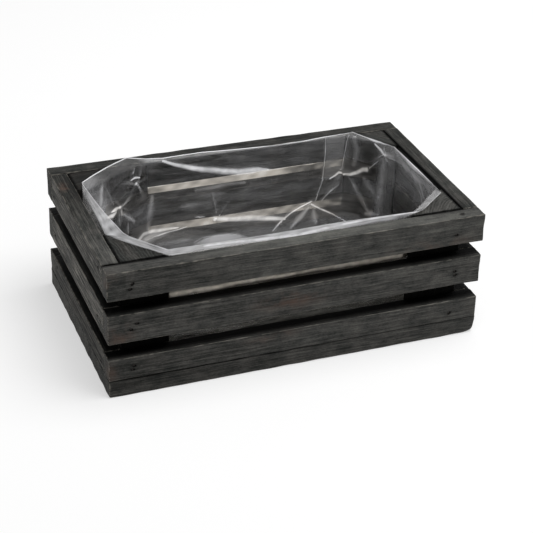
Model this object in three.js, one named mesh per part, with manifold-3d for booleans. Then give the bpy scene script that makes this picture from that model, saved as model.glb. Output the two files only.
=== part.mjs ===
// A slatted wooden planter box, nailed together from battens, with a clear film liner stapled inside.
// Millimetres, +Z up. The origin is on the ground under the middle of the box, +X runs to the right
// along its length and +Y from its front to its back.
import * as THREE from "three";
import { mergeVertices } from "three/addons/utils/BufferGeometryUtils.js";
import Module from "manifold-3d";

// Overall box
const BOX_LENGTH = 340;
const BOX_WIDTH = 200;

// Floor boards
const FLOOR_THICKNESS = 16;
const BOARD_SEAM = 0.5;

// Slats, from the floor up
const SLAT_THICKNESS = 15;
const BOTTOM_SLAT_HEIGHT = 21;
const LOWER_GAP = 15;
const MIDDLE_SLAT_HEIGHT = 27.5;
const UPPER_GAP = 13.7;
const TOP_SLAT_HEIGHT = 26.5;
const ARRIS = 0.8;

// Space left where two pieces of wood meet
const JOINT_GAP = 0.3;

// Triangular corner posts: length of each post's leg against the long side and against the end
const POST_LEGS = {
  front_left: { alongSide: 42, alongEnd: 50 },
  front_right: { alongSide: 50, alongEnd: 41 },
  back_left: { alongSide: 75, alongEnd: 36 },
  back_right: { alongSide: 39, alongEnd: 36 },
};

// Film liner
const FILM_THICKNESS = 0.6;
const FILM_CLEARANCE = 0.3;
const RIM_RISE = 4;

// Sunk nails
const NAIL_HEAD_RADIUS = 1;
const NAIL_HEAD_THICKNESS = 0.8;
const NAIL_SHANK_RADIUS = 0.7;
const NAIL_POINT = 2;
const NAIL_RECESS = 1.2;
const NAIL_BITE = 13;
const NAIL_CLEARANCE = 0.3;
const NAIL_SIDES = 10;

// Floor nails: distance from the box's ends and from its long sides
const FLOOR_NAIL_FROM_END = 33;
const FLOOR_NAIL_FROM_SIDE = 28;

// Wire staples that hold the film to the posts
const STAPLE_CROWN = 10;
const STAPLE_WIRE = 0.7;
const STAPLE_WIDTH = 1.2;
const STAPLE_BITE = 5;
const STAPLE_CLEARANCE = 0.3;

// Each staple's post, its distance along the post's face from the long side, and its depth below the top
const STAPLES = {
  front_left: { post: "front_left", fromSide: 20, belowTop: 12 },
  front_right: { post: "front_right", fromSide: 20, belowTop: 12 },
  back_left: { post: "back_left", fromSide: 16.7, belowTop: 16 },
  back_left_lower: { post: "back_left", fromSide: 36.8, belowTop: 33 },
  back_right: { post: "back_right", fromSide: 42.4, belowTop: 11 },
};

// Wall nails, as distance from the box's corner and height above the middle of the slat. The front has
// two at most of its slat ends, and so has the left middle slat; every other slat end has one.
const NAILS = {
  front: {
    left: {
      bottom: [[20.8, -1.9], [22, 1.7]],
      middle: [[20, -1.7], [25, 3.3]],
      top: [[19.7, -3.8], [21.7, 0.8]],
    },
    right: { bottom: [[26.4, -2.8]], middle: [[24.1, -3.3], [24.7, 0.7]], top: [[26.5, -3.3]] },
  },
  back: {
    left: { bottom: [[23, -2]], middle: [[21, 1]], top: [[24, 2]] },
    right: { bottom: [[22, 2]], middle: [[25, -2]], top: [[23, -1]] },
  },
  left: {
    front: { bottom: [[25, -5]], middle: [[24.6, -4.6], [33.6, -4.3]], top: [[26, 6]] },
    back: { bottom: [[24, 3]], middle: [[22, -4]], top: [[25, -4]] },
  },
  right: {
    front: { bottom: [[23, 2]], middle: [[26, 6]], top: [[24, 3]] },
    back: { bottom: [[25, -3]], middle: [[23, 4]], top: [[24, 5]] },
  },
};

// Heights that follow from the sizes above
const SLATS_FROM = FLOOR_THICKNESS + JOINT_GAP;
const MIDDLE_FROM = SLATS_FROM + BOTTOM_SLAT_HEIGHT + LOWER_GAP;
const TOP_FROM = MIDDLE_FROM + MIDDLE_SLAT_HEIGHT + UPPER_GAP;
const WOOD_TOP = TOP_FROM + TOP_SLAT_HEIGHT;
const TIERS = {
  bottom: { from: SLATS_FROM, height: BOTTOM_SLAT_HEIGHT },
  middle: { from: MIDDLE_FROM, height: MIDDLE_SLAT_HEIGHT },
  top: { from: TOP_FROM, height: TOP_SLAT_HEIGHT },
};

// The front and back slats cover the ends of the end slats, which stand between them
const LONG = { face: BOX_LENGTH, outer: BOX_WIDTH / 2, slatLength: BOX_LENGTH, slat: "slat" };
const SHORT = {
  face: BOX_WIDTH,
  outer: BOX_LENGTH / 2,
  slatLength: BOX_WIDTH - 2 * (SLAT_THICKNESS + JOINT_GAP),
  slat: "end_slat",
};

// Each side has its own frame, turned about Z: x along the face, y inwards from it, z up. ends gives
// the sign of x at each end.
const SIDES = {
  front: { ...LONG, turn: 0, ends: { left: -1, right: 1 } },
  right: { ...SHORT, turn: 90, ends: { front: -1, back: 1 } },
  back: { ...LONG, turn: 180, ends: { right: -1, left: 1 } },
  left: { ...SHORT, turn: -90, ends: { back: -1, front: 1 } },
};

const STAINED_WOOD = { color: 0x403f3b, roughness: 0.8, metalness: 0 };
const STEEL = { color: 0x2b2a28, roughness: 0.5, metalness: 0.8 };
const CLEAR_FILM = { color: 0xd9dde2, roughness: 0.15, metalness: 0, transparent: true, opacity: 0.35 };

const wasm = await Module();
wasm.setup();

function named(name, geometry, finish) {
  const material = new THREE.MeshStandardMaterial({ ...finish, flatShading: true });
  const mesh = new THREE.Mesh(geometry, material);
  mesh.name = name;
  return mesh;
}

// A closed geometry as a manifold-3d solid, moved by a matrix
function solidOf(geometry, matrix = new THREE.Matrix4()) {
  const loose = geometry.index ? geometry.toNonIndexed() : geometry;
  const bare = new THREE.BufferGeometry()
    .setAttribute("position", loose.getAttribute("position").clone())
    .applyMatrix4(matrix);
  const merged = mergeVertices(bare, 1e-4);
  return new wasm.Manifold(
    new wasm.Mesh({
      numProp: 3,
      vertProperties: merged.getAttribute("position").array,
      triVerts: new Uint32Array(merged.index.array),
    }),
  );
}

function geometryOf(solid) {
  const mesh = solid.getMesh();
  return new THREE.BufferGeometry()
    .setAttribute("position", new THREE.BufferAttribute(new Float32Array(mesh.vertProperties), 3))
    .setIndex(new THREE.BufferAttribute(mesh.triVerts, 1));
}

// Takes the cutters, which are placed meshes, out of each placed piece that they reach
function drill(pieces, cutters) {
  for (const piece of pieces) {
    piece.updateWorldMatrix(true, false);
    const back = piece.matrixWorld.clone().invert();
    const space = new THREE.Box3().setFromObject(piece);
    const reached = cutters.filter((cutter) => {
      cutter.updateWorldMatrix(true, false);
      return new THREE.Box3().setFromObject(cutter).intersectsBox(space);
    });
    if (reached.length === 0) continue;
    let solid = solidOf(piece.geometry);
    for (const cutter of reached) {
      solid = solid.subtract(solidOf(cutter.geometry, back.clone().multiply(cutter.matrixWorld)));
    }
    piece.geometry = geometryOf(solid);
  }
}

function extruded(points, depth) {
  const outline = new THREE.Shape(points.map(([x, y]) => new THREE.Vector2(x, y)));
  return new THREE.ExtrudeGeometry(outline, { depth, bevelEnabled: false });
}

// A batten along X, centred on it, with its long edges eased; y runs inwards and z up from its corner
function battenGeometry(length, thickness, height) {
  const a = ARRIS;
  const section = [
    [a, 0], [thickness - a, 0], [thickness, a], [thickness, height - a],
    [thickness - a, height], [a, height], [0, height - a], [0, a],
  ];
  const lengthwise = new THREE.Matrix4().makeBasis(
    new THREE.Vector3(0, 1, 0),
    new THREE.Vector3(0, 0, 1),
    new THREE.Vector3(1, 0, 0),
  );
  return extruded(section, length).applyMatrix4(lengthwise).translate(-length / 2, 0, 0);
}

// A nail along +Y with its head at the origin; grow is the space left round it in the wood
function nailGeometry(length, grow = 0) {
  const mouth = grow > 0 ? -NAIL_RECESS - grow : 0;
  const head = NAIL_HEAD_RADIUS + grow;
  const shank = NAIL_SHANK_RADIUS + grow;
  const under = NAIL_HEAD_THICKNESS + grow;
  const shoulder = grow > 0 ? length + grow : length - NAIL_POINT;
  const tip = length + grow;
  const profile = [[0, mouth], [head, mouth], [head, under], [shank, under], [shank, shoulder], [0, tip]];
  return new THREE.LatheGeometry(profile.map(([r, y]) => new THREE.Vector2(r, y)), NAIL_SIDES);
}

// Adds a nail to a group, and its hole to the list of cutters, both at the same place
function driveNail(group, holes, name, length, position, rotation) {
  const nail = named(name, nailGeometry(length), STEEL);
  const hole = new THREE.Mesh(nailGeometry(length, NAIL_CLEARANCE));
  for (const piece of [nail, hole]) {
    piece.position.copy(position);
    piece.rotation.copy(rotation);
  }
  group.add(nail, hole);
  holes.push(hole);
}

// Three slats of one side and the nails that go through them
function sideGroup(sideName, holes) {
  const side = SIDES[sideName];
  const group = new THREE.Group();
  group.rotation.z = THREE.MathUtils.degToRad(side.turn);
  group.position.set(0, -side.outer, 0).applyAxisAngle(new THREE.Vector3(0, 0, 1), group.rotation.z);
  const nailLength = SLAT_THICKNESS + JOINT_GAP + NAIL_BITE - NAIL_RECESS;
  for (const [tierName, tier] of Object.entries(TIERS)) {
    const batten = battenGeometry(side.slatLength, SLAT_THICKNESS, tier.height);
    const slat = named(`${sideName}_${side.slat}_${tierName}`, batten, STAINED_WOOD);
    slat.position.z = tier.from;
    group.add(slat);
    for (const [endName, sign] of Object.entries(side.ends)) {
      NAILS[sideName][endName][tierName].forEach(([fromCorner, aboveMiddle], i) => {
        const x = sign * (side.face / 2 - fromCorner);
        const z = tier.from + tier.height / 2 + aboveMiddle;
        const name = `nail_${sideName}_${tierName}_${endName}_${i + 1}`;
        const place = new THREE.Vector3(x, NAIL_RECESS, z);
        driveNail(group, holes, name, nailLength, place, new THREE.Euler());
      });
    }
  }
  return group;
}

// Floor boards along the box, each nailed up from below at both ends
function floorGroup(holes) {
  const group = new THREE.Group();
  const names = ["front", "middle", "back"];
  const width = (BOX_WIDTH - BOARD_SEAM * (names.length - 1)) / names.length;
  const nailLength = FLOOR_THICKNESS + JOINT_GAP + NAIL_BITE - NAIL_RECESS;
  const upwards = new THREE.Euler(Math.PI / 2, 0, 0);
  names.forEach((name, i) => {
    const board = named(
      `floor_board_${name}`,
      battenGeometry(BOX_LENGTH, width, FLOOR_THICKNESS),
      STAINED_WOOD,
    );
    board.position.y = -BOX_WIDTH / 2 + i * (width + BOARD_SEAM);
    group.add(board);
    // The middle board is held by the end slats, the others by the posts
    const row = i - (names.length - 1) / 2;
    const fromEnd = row === 0 ? SLAT_THICKNESS / 2 : FLOOR_NAIL_FROM_END;
    const y = Math.sign(row) * (BOX_WIDTH / 2 - FLOOR_NAIL_FROM_SIDE);
    for (const [endName, sign] of [["left", -1], ["right", 1]]) {
      const place = new THREE.Vector3(sign * (BOX_LENGTH / 2 - fromEnd), y, NAIL_RECESS);
      driveNail(group, holes, `nail_floor_${name}_${endName}`, nailLength, place, upwards);
    }
  });
  return group;
}

// The three corners of a post seen from above: inner corner of the box, end of the leg along the long
// side, end of the leg along the end
function postOutline(name) {
  const { alongSide, alongEnd } = POST_LEGS[name];
  const sx = name.endsWith("left") ? -1 : 1;
  const sy = name.startsWith("front") ? -1 : 1;
  const x = sx * (BOX_LENGTH / 2 - SLAT_THICKNESS - JOINT_GAP);
  const y = sy * (BOX_WIDTH / 2 - SLAT_THICKNESS - JOINT_GAP);
  return [[x, y], [x - sx * alongSide, y], [x, y - sy * alongEnd]];
}

function cornerPost(name) {
  const geometry = extruded(postOutline(name), WOOD_TOP - SLATS_FROM);
  const post = named(`corner_post_${name}`, geometry, STAINED_WOOD);
  post.position.z = SLATS_FROM;
  return post;
}

// The line through two points, with its normal pointing away from the middle of the box
function wallLine(p, q) {
  const normal = new THREE.Vector2(q[1] - p[1], p[0] - q[0]).normalize();
  const offset = normal.x * p[0] + normal.y * p[1];
  return offset < 0 ? { normal: normal.negate(), offset: -offset } : { normal, offset };
}

function crossing(a, b) {
  const det = a.normal.x * b.normal.y - a.normal.y * b.normal.x;
  return [
    (a.offset * b.normal.y - b.offset * a.normal.y) / det,
    (a.normal.x * b.offset - b.normal.x * a.offset) / det,
  ];
}

// The eight-sided outline inside the slats and posts, drawn in by inset. Each wall is a line that the
// inset moves towards the middle, and each corner is where two neighbouring lines cross.
function linerOutline(inset) {
  const hx = BOX_LENGTH / 2 - SLAT_THICKNESS;
  const hy = BOX_WIDTH / 2 - SLAT_THICKNESS;
  const postFace = (name) => wallLine(...postOutline(name).slice(1));
  const walls = [
    wallLine([-hx, -hy], [hx, -hy]),
    postFace("front_right"),
    wallLine([hx, -hy], [hx, hy]),
    postFace("back_right"),
    wallLine([hx, hy], [-hx, hy]),
    postFace("back_left"),
    wallLine([-hx, hy], [-hx, -hy]),
    postFace("front_left"),
  ].map(({ normal, offset }) => ({ normal, offset: offset - inset }));
  return walls.map((wall, i) => crossing(wall, walls[(i + 1) % walls.length]));
}

// The liner is one tub of film, open at the top, whose rim stands above the wood
function filmLiner() {
  const from = SLATS_FROM;
  const height = WOOD_TOP + RIM_RISE - from;
  const outside = solidOf(extruded(linerOutline(FILM_CLEARANCE), height));
  const inside = solidOf(
    extruded(linerOutline(FILM_CLEARANCE + FILM_THICKNESS), height),
    new THREE.Matrix4().makeTranslation(0, 0, FILM_THICKNESS),
  );
  const liner = named("film_liner", geometryOf(outside.subtract(inside)), CLEAR_FILM);
  liner.position.z = from;
  return liner;
}

// A U-shaped staple: its crown lies along X on the film and its legs go down -Y into the post
function stapleGeometry() {
  const half = STAPLE_CROWN / 2;
  const inner = half - STAPLE_WIRE;
  const top = STAPLE_WIRE;
  const tip = -(FILM_THICKNESS + FILM_CLEARANCE + STAPLE_CLEARANCE + STAPLE_BITE);
  const outline = [
    [-half, top], [-half, tip], [-inner, tip], [-inner, 0],
    [inner, 0], [inner, tip], [half, tip], [half, top],
  ];
  return extruded(outline, STAPLE_WIDTH).translate(0, 0, -STAPLE_WIDTH / 2);
}

// One staple in its post, and a cutter for each of its legs
function stapleGroup(name, { post, fromSide, belowTop }, slots) {
  const [, sideEnd, endEnd] = postOutline(post).map(([x, y]) => new THREE.Vector2(x, y));
  const along = endEnd.clone().sub(sideEnd).normalize();
  const inwards = new THREE.Vector2(-along.y, along.x);
  if (inwards.dot(sideEnd) > 0) inwards.negate();
  const clear = FILM_CLEARANCE + FILM_THICKNESS + STAPLE_CLEARANCE;
  const place = sideEnd.clone().addScaledVector(along, fromSide).addScaledVector(inwards, clear);
  const group = new THREE.Group();
  group.position.set(place.x, place.y, WOOD_TOP - belowTop);
  group.rotation.z = Math.atan2(inwards.y, inwards.x) - Math.PI / 2;
  group.add(named(`liner_staple_${name}`, stapleGeometry(), STEEL));
  for (const sign of [-1, 1]) {
    const depth = clear + STAPLE_BITE;
    const slot = new THREE.Mesh(
      new THREE.BoxGeometry(
        STAPLE_WIRE + 2 * STAPLE_CLEARANCE,
        depth + STAPLE_CLEARANCE,
        STAPLE_WIDTH + 2 * STAPLE_CLEARANCE,
      ),
    );
    slot.position.set((sign * (STAPLE_CROWN - STAPLE_WIRE)) / 2, -(depth + STAPLE_CLEARANCE) / 2, 0);
    group.add(slot);
    slots.push(slot);
  }
  return group;
}

const planter = new THREE.Group();
const nailHoles = [];
const stapleSlots = [];
planter.add(floorGroup(nailHoles));
for (const sideName of Object.keys(SIDES)) {
  planter.add(sideGroup(sideName, nailHoles));
}
const liner = filmLiner();
planter.add(liner);
const posts = Object.keys(POST_LEGS).map(cornerPost);
planter.add(...posts);
for (const [name, staple] of Object.entries(STAPLES)) {
  planter.add(stapleGroup(name, staple, stapleSlots));
}

const wood = [];
planter.traverse((piece) => {
  if (/^(floor_board|corner_post)|_slat_/.test(piece.name)) wood.push(piece);
});
drill(wood, nailHoles);
drill([liner, ...posts], stapleSlots);
for (const cutter of [...nailHoles, ...stapleSlots]) {
  cutter.removeFromParent();
}

export default planter;
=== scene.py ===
# Wooden planter box with a clear film liner: charcoal-stained softwood slats nailed to corner posts.
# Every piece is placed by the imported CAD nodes, in metres, in the same frame.
import math
import zlib

import bpy
import numpy as np
from mathutils import Matrix, Vector


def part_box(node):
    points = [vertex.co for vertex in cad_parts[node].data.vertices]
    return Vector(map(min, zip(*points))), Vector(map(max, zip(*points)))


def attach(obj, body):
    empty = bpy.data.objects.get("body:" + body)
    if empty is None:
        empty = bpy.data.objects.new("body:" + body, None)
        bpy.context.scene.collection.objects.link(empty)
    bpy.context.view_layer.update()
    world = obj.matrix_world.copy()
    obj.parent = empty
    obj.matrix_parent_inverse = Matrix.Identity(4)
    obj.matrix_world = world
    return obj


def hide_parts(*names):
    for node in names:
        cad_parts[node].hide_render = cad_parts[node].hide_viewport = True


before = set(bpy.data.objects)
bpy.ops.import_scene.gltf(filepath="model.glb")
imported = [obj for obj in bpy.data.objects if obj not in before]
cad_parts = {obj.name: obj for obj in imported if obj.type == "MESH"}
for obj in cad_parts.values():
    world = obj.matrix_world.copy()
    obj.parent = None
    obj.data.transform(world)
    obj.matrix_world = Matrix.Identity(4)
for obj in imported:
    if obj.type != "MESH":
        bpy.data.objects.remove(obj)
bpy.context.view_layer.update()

# Camera. It stands in front of the planter and a little to its left, looks down at 30 degrees
# with a long lens, and is tipped under two degrees, as in the photograph.
CAMERA_TURN, CAMERA_HEIGHT, CAMERA_TIP = map(math.radians, (-21.4865, 30.0855, 1.8391))
CAMERA_AIM = Vector((0.00656, 0.0, 0.04138))
CAMERA_DISTANCE = 1.4215

away = Vector((
    math.sin(CAMERA_TURN) * math.cos(CAMERA_HEIGHT),
    -math.cos(CAMERA_TURN) * math.cos(CAMERA_HEIGHT),
    math.sin(CAMERA_HEIGHT),
))
level = Vector((math.cos(CAMERA_TURN), math.sin(CAMERA_TURN), 0.0))
upright = away.cross(level)
across = math.cos(CAMERA_TIP) * level + math.sin(CAMERA_TIP) * upright
rise = math.cos(CAMERA_TIP) * upright - math.sin(CAMERA_TIP) * level
lens = bpy.data.cameras.new("camera")
lens.sensor_width = 36.0
lens.lens = 105.47
lens.clip_start, lens.clip_end = 0.05, 30.0
camera = bpy.data.objects.new("camera", lens)
place = CAMERA_AIM + CAMERA_DISTANCE * away
camera.matrix_world = Matrix([[across[i], rise[i], away[i], place[i]] for i in range(3)] + [[0, 0, 0, 1]])
bpy.context.scene.collection.objects.link(camera)
bpy.context.scene.camera = camera
bpy.context.scene.view_settings.view_transform = "Standard"


# Ground and light. A white studio sweep lit by one broad lamp over the right shoulder, with the white
# room filling the shadows. The sweep renders white and keeps the planter's soft shadow.
def linear(code):
    """sRGB hex to linear RGBA: each channel above 0.04045 is ((c + 0.055) / 1.055) to the power 2.4."""
    c = np.array([int(code[i:i + 2], 16) for i in (1, 3, 5)]) / 255.0
    rgb = np.where(c > 0.04045, ((c + 0.055) / 1.055) ** 2.4, c / 12.92)
    return (*(float(v) for v in rgb), 1.0)


def add(tree, kind, links=None, **settings):
    """One shader node: settings by name, and inputs by socket name or number. An input is a value, a
    socket, or a node, which gives its first output."""
    node = tree.nodes.new(kind)
    for name, value in settings.items():
        setattr(node, name, value)
    for socket, value in (links or {}).items():
        if isinstance(value, bpy.types.Node):
            value = value.outputs[0]
        if isinstance(value, bpy.types.NodeSocket):
            tree.links.new(value, node.inputs[socket])
        else:
            node.inputs[socket].default_value = value
    return node


def new_material(name):
    """An empty node material and its tree."""
    material = bpy.data.materials.new(name)
    material.use_nodes = True
    material.node_tree.nodes.clear()
    return material, material.node_tree


def seen_straight(tree):
    """One for rays from the camera, off a mirror or through clear film, and zero for all others."""
    rays = add(tree, "ShaderNodeLightPath").outputs
    seen = add(tree, "ShaderNodeMath", {0: rays["Is Camera Ray"], 1: rays["Is Glossy Ray"]},
               operation="MAXIMUM")
    return add(tree, "ShaderNodeMath", {0: seen, 1: rays["Is Transmission Ray"]}, operation="MAXIMUM")


world = bpy.data.worlds.new("white_room")
bpy.context.scene.world = world
world.use_nodes = True
room = world.node_tree
room.nodes.clear()
fill = add(room, "ShaderNodeBackground", {"Color": linear("#ffffff"), "Strength": 0.30})
backdrop = add(room, "ShaderNodeBackground", {"Color": linear("#ffffff"), "Strength": 1.0})
chosen = add(room, "ShaderNodeMixShader", {0: seen_straight(room), 1: fill, 2: backdrop})
add(room, "ShaderNodeOutputWorld", {"Surface": chosen})

# Painted board: matt white, with a little of its own light for the camera, so that it reads as white
# wherever the planter's shadow doesn't reach.
ground_paint, tree = new_material("painted_white_board")
board_paint = add(tree, "ShaderNodeBsdfDiffuse", {"Color": linear("#f0f0f0"), "Roughness": 0.5})
thin_paint = add(tree, "ShaderNodeBsdfDiffuse", {"Color": linear("#cbcbcb"), "Roughness": 0.5})
lift = add(tree, "ShaderNodeEmission", {"Color": linear("#ffffff"), "Strength": 0.505})
lifted = add(tree, "ShaderNodeAddShader", {0: thin_paint, 1: lift})
ground_look = add(tree, "ShaderNodeMixShader", {0: seen_straight(tree), 1: board_paint, 2: lifted})
add(tree, "ShaderNodeOutputMaterial", {"Surface": ground_look})

GROUND_HEIGHT = -0.0002
east, north = np.meshgrid(np.linspace(-4.0, 4.0, 5), np.linspace(-4.0, 4.0, 5))
corners = np.stack([east, north, np.full((5, 5), GROUND_HEIGHT)], axis=-1).reshape(-1, 3)
spot = np.arange(25).reshape(5, 5)
squares = np.stack([spot[:-1, :-1], spot[:-1, 1:], spot[1:, 1:], spot[1:, :-1]], axis=-1).reshape(-1, 4)
ground_mesh = bpy.data.meshes.new("ground")
ground_mesh.from_pydata(corners.tolist(), [], squares.tolist())
ground_mesh.materials.append(ground_paint)
ground = bpy.data.objects.new("ground", ground_mesh)
bpy.context.scene.collection.objects.link(ground)


def soft_lamp(name, place, size, power):
    """A square area lamp at place, turned to face the planter."""
    lamp = bpy.data.lights.new(name, "AREA")
    lamp.shape, lamp.size, lamp.energy = "SQUARE", size, power
    holder = bpy.data.objects.new(name, lamp)
    holder.location = place
    holder.rotation_mode = "QUATERNION"
    holder.rotation_quaternion = (Vector(place) - Vector((0, 0, 0.06))).to_track_quat("Z", "Y")
    bpy.context.scene.collection.objects.link(holder)


soft_lamp("overhead_softbox", (0.58, -0.26, 2.0), 1.6, 35.0)

# Floor boards. Three sawn boards of softwood lie side by side under the slats, flush with them, and are
# nailed up into the posts and the end slats, with the heads sunk into their undersides. They are stained
# charcoal like the rest. Sizes in this section are in millimetres, as in all that follow.
ARRIS_RADIUS, ARRIS_WANDER = 0.95, 0.22
SUNK_RADIUS, SUNK_DEPTH, TORN_DEPTH = 1.35, 1.27, 0.12
SEAM_HEIGHT = 0.7
LATTICE_STEP, LATTICE_STEP_ALONG_GRAIN = 1.9, 3.2
ROUNDING_STEPS = [0.0, 0.25, 0.55, 0.9, 1.35, 2.0, 3.0]
HOLE_STEPS = [0.0, 0.35, 0.7, 1.0, 1.3, 1.65, 2.2]


def node_box(name):
    """Lowest and highest corner of a CAD node, in millimetres."""
    low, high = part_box(name)
    return np.array(low) * 1000.0, np.array(high) * 1000.0


FLOOR_TOP = node_box("floor_board_front")[1][2]
WOOD_TOP = node_box("front_slat_top")[1][2]


def ripple(points, dice, length, count=5):
    """Smooth noise of about one unit: a sum of cosine waves in random directions, of random phase,
    with wave lengths near the given lengths in millimetres for x, y and z."""
    value = np.zeros(len(points))
    for _ in range(count):
        heading = dice.normal(size=3)
        heading *= dice.uniform(0.7, 1.4) / np.linalg.norm(heading)
        value += np.cos((points / np.array(length)) @ heading * 2 * np.pi + dice.uniform(0, 2 * np.pi))
    return value / math.sqrt(count / 2)


def nails_at(key):
    """Centre, axis and head side of each nail driven through a piece: wall nails have their heads on the
    outside of the planter, floor nails underneath."""
    found = []
    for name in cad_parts:
        if not name.startswith("nail_" + key):
            continue
        n_low, n_high = node_box(name)
        axis = int(np.argmax(n_high - n_low))
        centre = (n_low + n_high) / 2
        sign = 1.0 if axis < 2 and centre[axis] > 0 else -1.0
        found.append((centre, axis, sign))
    return found


def ticks(low, high, step, refine):
    """Lattice stops along one side: close to both arrises, close round each nail, even in between."""
    stops = [low + s for s in ROUNDING_STEPS] + [high - s for s in ROUNDING_STEPS]
    for centre in refine:
        stops += [centre + s for s in HOLE_STEPS] + [centre - s for s in HOLE_STEPS]
    crowd = sorted(s for s in stops if low <= s <= high)
    even = np.linspace(low, high, max(2, int(round((high - low) / step)) + 1))
    crowd_array = np.array(crowd)
    even = [e for e in even if np.min(np.abs(crowd_array - e)) > 0.45 * step]
    merged = sorted(crowd + even)
    kept = [merged[0]]
    for stop in merged[1:]:
        if stop - kept[-1] > 0.12:
            kept.append(stop)
    kept[-1] = high
    return np.array(kept)


def lattice_shell(xs, ys, zs):
    """The outside of a box as a lattice: six grids of points, each point kept once by its three stop
    numbers, and quads that face outwards."""
    nx, ny, nz = len(xs), len(ys), len(zs)
    keys, quads = [], []
    start = 0
    for axis, (na, nb) in ((0, (ny, nz)), (1, (nz, nx)), (2, (nx, ny))):
        for end in (0, 1):
            a, b = np.meshgrid(np.arange(na), np.arange(nb), indexing="ij")
            fixed = np.full(a.shape, (nx, ny, nz)[axis] - 1 if end else 0)
            ijk = [None] * 3
            ijk[axis], ijk[(axis + 1) % 3], ijk[(axis + 2) % 3] = fixed, a, b
            keys.append(((ijk[0] * ny + ijk[1]) * nz + ijk[2]).ravel())
            number = start + np.arange(na * nb).reshape(na, nb)
            quad = np.stack([number[:-1, :-1], number[1:, :-1], number[1:, 1:], number[:-1, 1:]], axis=-1)
            quad = quad.reshape(-1, 4)
            quads.append(quad if end else quad[:, ::-1])
            start += na * nb
    keys, quads = np.concatenate(keys), np.concatenate(quads)
    unique, place_of = np.unique(keys, return_inverse=True)
    i, j, k = unique // (ny * nz), unique // nz % ny, unique % nz
    return np.stack([xs[i], ys[j], zs[k]], axis=1), place_of[quads]


def show_piece(name, node, points, quads, fields, material, fans=None):
    """The visible mesh of a CAD node, from whole arrays: points, four-sided faces, three-sided faces if
    there are any, and named values at the points."""
    fans = np.zeros((0, 3), int) if fans is None else fans
    mesh = bpy.data.meshes.new(name)
    mesh.vertices.add(len(points))
    mesh.vertices.foreach_set("co", (points / 1000.0).astype(np.float32).ravel())
    around = np.concatenate([quads.ravel(), fans.ravel()]).astype(np.int32)
    starts = np.concatenate([np.arange(len(quads)) * 4, quads.size + np.arange(len(fans)) * 3])
    mesh.loops.add(len(around))
    mesh.loops.foreach_set("vertex_index", around)
    mesh.polygons.add(len(starts))
    mesh.polygons.foreach_set("loop_start", starts.astype(np.int32))
    mesh.update(calc_edges=True)
    mesh.polygons.foreach_set("use_smooth", np.ones(len(starts), dtype=bool))
    for key, value in fields.items():
        kind = "FLOAT_VECTOR" if value.ndim == 2 else "FLOAT"
        layer = mesh.attributes.new(key, kind, "POINT")
        layer.data.foreach_set("vector" if value.ndim == 2 else "value", value.astype(np.float32).ravel())
    mesh.materials.append(material)
    piece = bpy.data.objects.new(name, mesh)
    bpy.context.scene.collection.objects.link(piece)
    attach(piece, "root")
    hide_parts(node)
    return piece


def timber_place(points, grain, dice, pith=None):
    """Where each point lay in the tree, in millimetres: along the trunk, and two distances from its
    pith. The pith is a random 25 to 60 mm away from the piece, in a random direction, if it isn't given
    as a direction and a distance."""
    middle = (points.min(0) + points.max(0)) / 2
    turn, reach = pith or (dice.uniform(0, 2 * np.pi), dice.uniform(25, 60))
    along = points[:, grain] + dice.uniform(-4000, 4000)
    first = points[:, (grain + 1) % 3] - middle[(grain + 1) % 3] + reach * math.cos(turn)
    second = points[:, (grain + 2) % 3] - middle[(grain + 2) % 3] + reach * math.sin(turn)
    return np.stack([along, first, second], axis=1)


def spots(points, patches):
    """Soft spots: each patch is a place, a reach along x, y and z, and an amount, and fades as the bell
    curve of the distance over the reach."""
    value = np.zeros(len(points))
    for spot, reach, amount in patches:
        value += amount * np.exp(-(((points - np.array(spot)) / np.array(reach)) ** 2).sum(1))
    return value


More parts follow.
